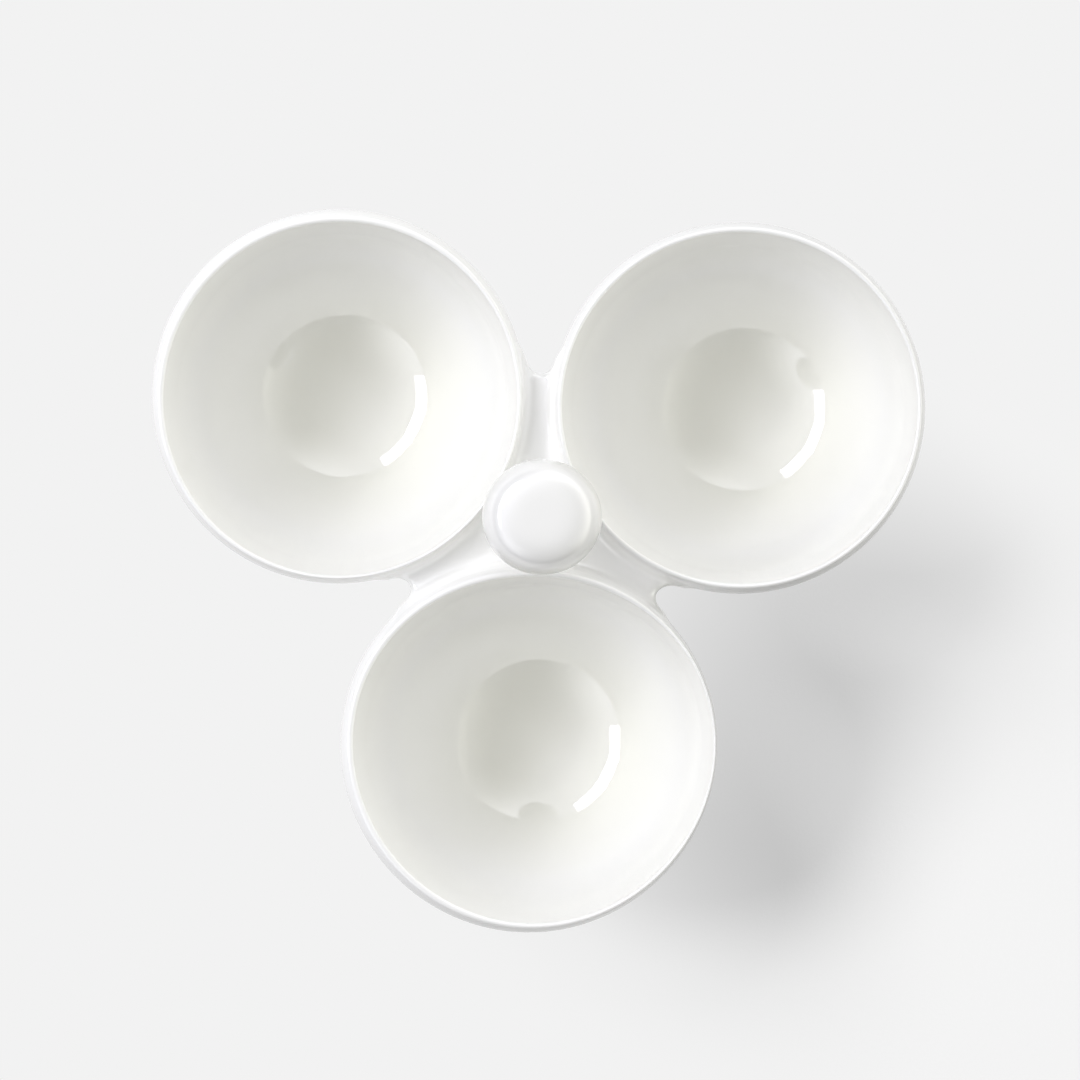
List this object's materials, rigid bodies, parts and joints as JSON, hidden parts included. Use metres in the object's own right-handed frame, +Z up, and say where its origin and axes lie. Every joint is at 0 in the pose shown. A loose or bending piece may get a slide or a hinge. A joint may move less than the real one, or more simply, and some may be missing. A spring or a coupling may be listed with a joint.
{
  "type": "divided serving bowl",
  "caption": "White glazed serving dish of round bowls set about a short stem, joined by a web just below the rims, with a round knob above the rims to lift it by.",
  "frame": {"origin": "on the table, at the middle of the box that the dish fills, 19.5 mm from the knob's axis towards the front bowl", "axes": "+Z up, +X to the right, -Y towards the front bowl; the left and right bowls lie behind, at 150 and 30 degrees about the knob's axis"},
  "size_m": [0.262, 0.244, 0.1013],
  "materials": {
    "bowl_glaze": "clear gloss glaze over a white body",
    "web_glaze": "clear gloss glaze over a white body",
    "handle_glaze": "clear gloss glaze over a white body"
  },
  "bodies": {
    "root": {"bowl_left": "bowl_glaze", "bowl_right": "bowl_glaze", "bowl_front": "bowl_glaze", "center_web": "web_glaze", "knob_neck": "handle_glaze", "knob": "handle_glaze"}
  },
  "joints": []
}
